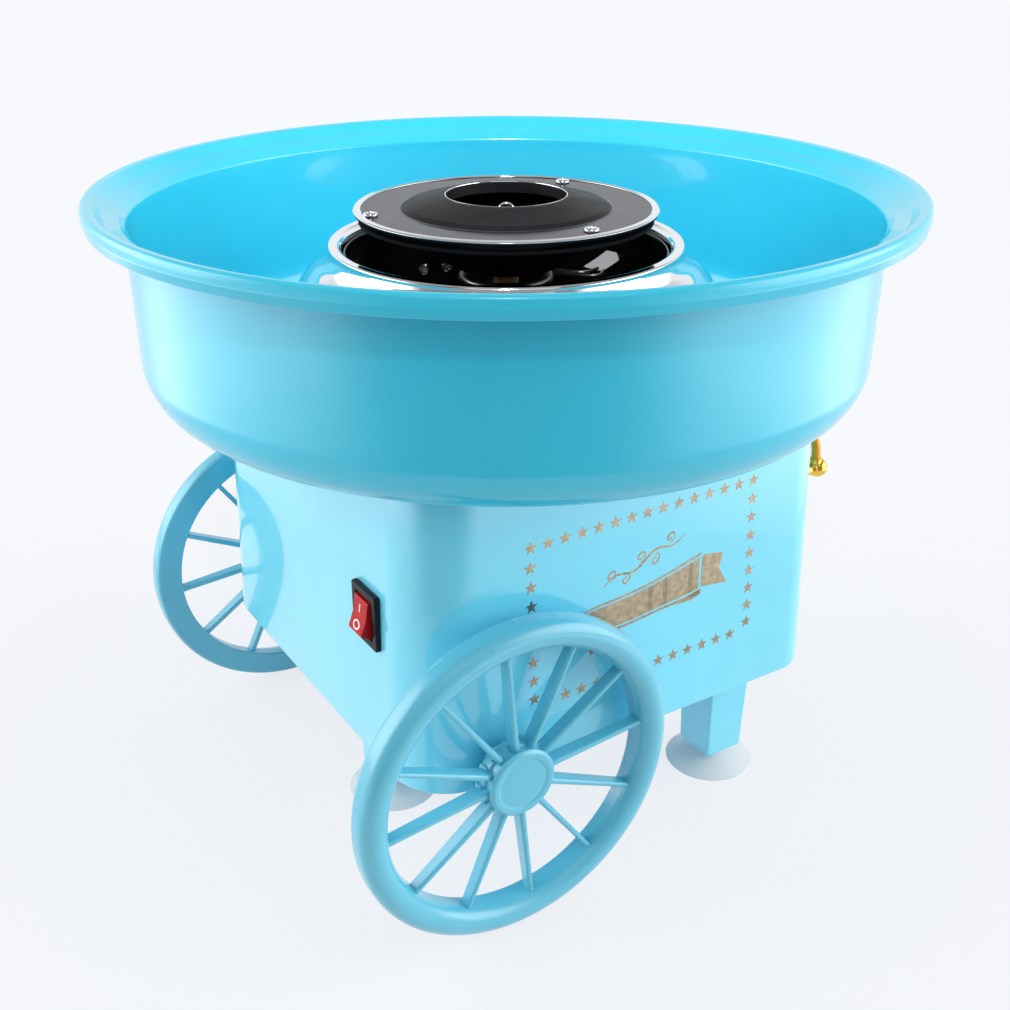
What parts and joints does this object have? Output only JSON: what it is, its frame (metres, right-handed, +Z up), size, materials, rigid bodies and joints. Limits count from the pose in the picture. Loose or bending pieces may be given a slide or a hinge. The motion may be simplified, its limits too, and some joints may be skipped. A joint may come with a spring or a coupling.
{
  "type": "cotton candy machine",
  "caption": "Tabletop cotton candy machine shaped like a vendor's cart: open bowl with a spinning head, square housing, spoked wheels, legs on suction cups, arched rear handle.",
  "frame": {"origin": "centre of the round bowl projected onto the table plane, at the underside of the feet", "axes": "+Z up; -X towards the end with the rocker switch, +X towards the end with the push handle; -Y towards the decorated side panel"},
  "size_m": [0.305, 0.305, 0.2473],
  "materials": {
    "blue_body": "glossy moulded",
    "blue_trim": "satin moulded",
    "clear_silicone": "milky translucent",
    "chrome_plate": "mirror",
    "black_enamel": "satin black enamel",
    "heater_sheath": "dull",
    "ceramic": "matt ceramic",
    "zinc_steel": "zinc plated",
    "brass_shaft": "turned",
    "copper_rotor": "wound copper",
    "black_plastic": "satin moulded",
    "red_rocker": "glossy translucent",
    "gold_plate": "gold plated"
  },
  "bodies": {
    "base": {"housing_shell": "blue_body", "bottom_cover": "blue_trim", "cover_screw_1": "zinc_steel", "cover_screw_2": "zinc_steel", "cover_screw_3": "zinc_steel", "cover_screw_4": "zinc_steel", "rear_leg_near": "blue_body", "rear_suction_cup_near": "clear_silicone", "rear_leg_far": "blue_body", "rear_suction_cup_far": "clear_silicone", "front_leg": "blue_body", "front_suction_cup": "clear_silicone", "chrome_heat_shield": "chrome_plate", "heater_pan": "black_enamel", "pan_screw_1": "zinc_steel", "pan_screw_2": "zinc_steel", "pan_screw_3": "zinc_steel", "heating_element": "heater_sheath", "ceramic_bush_1": "ceramic", "ceramic_bush_2": "ceramic", "motor_bracket": "zinc_steel", "bracket_screw_1": "zinc_steel", "bracket_screw_2": "zinc_steel", "bracket_screw_3": "zinc_steel", "bracket_screw_4": "zinc_steel", "motor_can": "zinc_steel", "motor_screw_1": "zinc_steel", "motor_screw_2": "zinc_steel", "motor_end_bell": "black_plastic", "axle_bolt_near": "zinc_steel", "axle_bolt_far": "zinc_steel", "switch_body": "black_plastic", "handle_bracket_near": "gold_plate", "handle_bracket_far": "gold_plate", "handle_screw_near": "zinc_steel", "handle_screw_far": "zinc_steel", "handle_bar": "gold_plate", "cord_inlet_grommet": "black_plastic"},
    "bowl": {"bowl": "blue_body"},
    "spinner": {"motor_shaft": "brass_shaft", "motor_rotor": "copper_rotor", "cooling_fan": "black_plastic"},
    "head": {"head_lid": "black_enamel", "sugar_pan": "black_enamel", "head_screw_1": "chrome_plate", "head_screw_2": "chrome_plate", "head_screw_3": "chrome_plate", "spindle_nut": "black_enamel", "wire_loop": "chrome_plate"},
    "rocker": {"switch_rocker": "red_rocker"},
    "wheel_near": {"wheel_near": "blue_body", "hub_cap_near": "blue_trim"},
    "wheel_far": {"wheel_far": "blue_body", "hub_cap_far": "blue_trim"}
  },
  "joints": [
    {"name": "bowl_lift", "type": "slide", "parent": "base", "child": "bowl", "axis": [0, 0, 1], "range_m": [0, 0.1]},
    {"name": "spinner_turn", "type": "hinge", "parent": "base", "child": "spinner", "pos_m": [0, 0, 0.2], "axis": [0, 0, 1], "continuous": true},
    {"name": "head_lift", "type": "slide", "parent": "spinner", "child": "head", "axis": [0, 0, 1], "range_m": [0, 0.04]},
    {"name": "rocker_tilt", "type": "hinge", "parent": "base", "child": "rocker", "pos_m": [-0.09097, -0.0537, 0.1155], "axis": [0, -1, 0], "range_deg": [0, 28]},
    {"name": "wheel_near_turn", "type": "hinge", "parent": "base", "child": "wheel_near", "pos_m": [-0.0591, -0.102, 0.0631], "axis": [0, 1, 0], "continuous": true},
    {"name": "wheel_far_turn", "type": "hinge", "parent": "base", "child": "wheel_far", "pos_m": [-0.0591, 0.102, 0.0631], "axis": [0, 1, 0], "continuous": true}
  ]
}
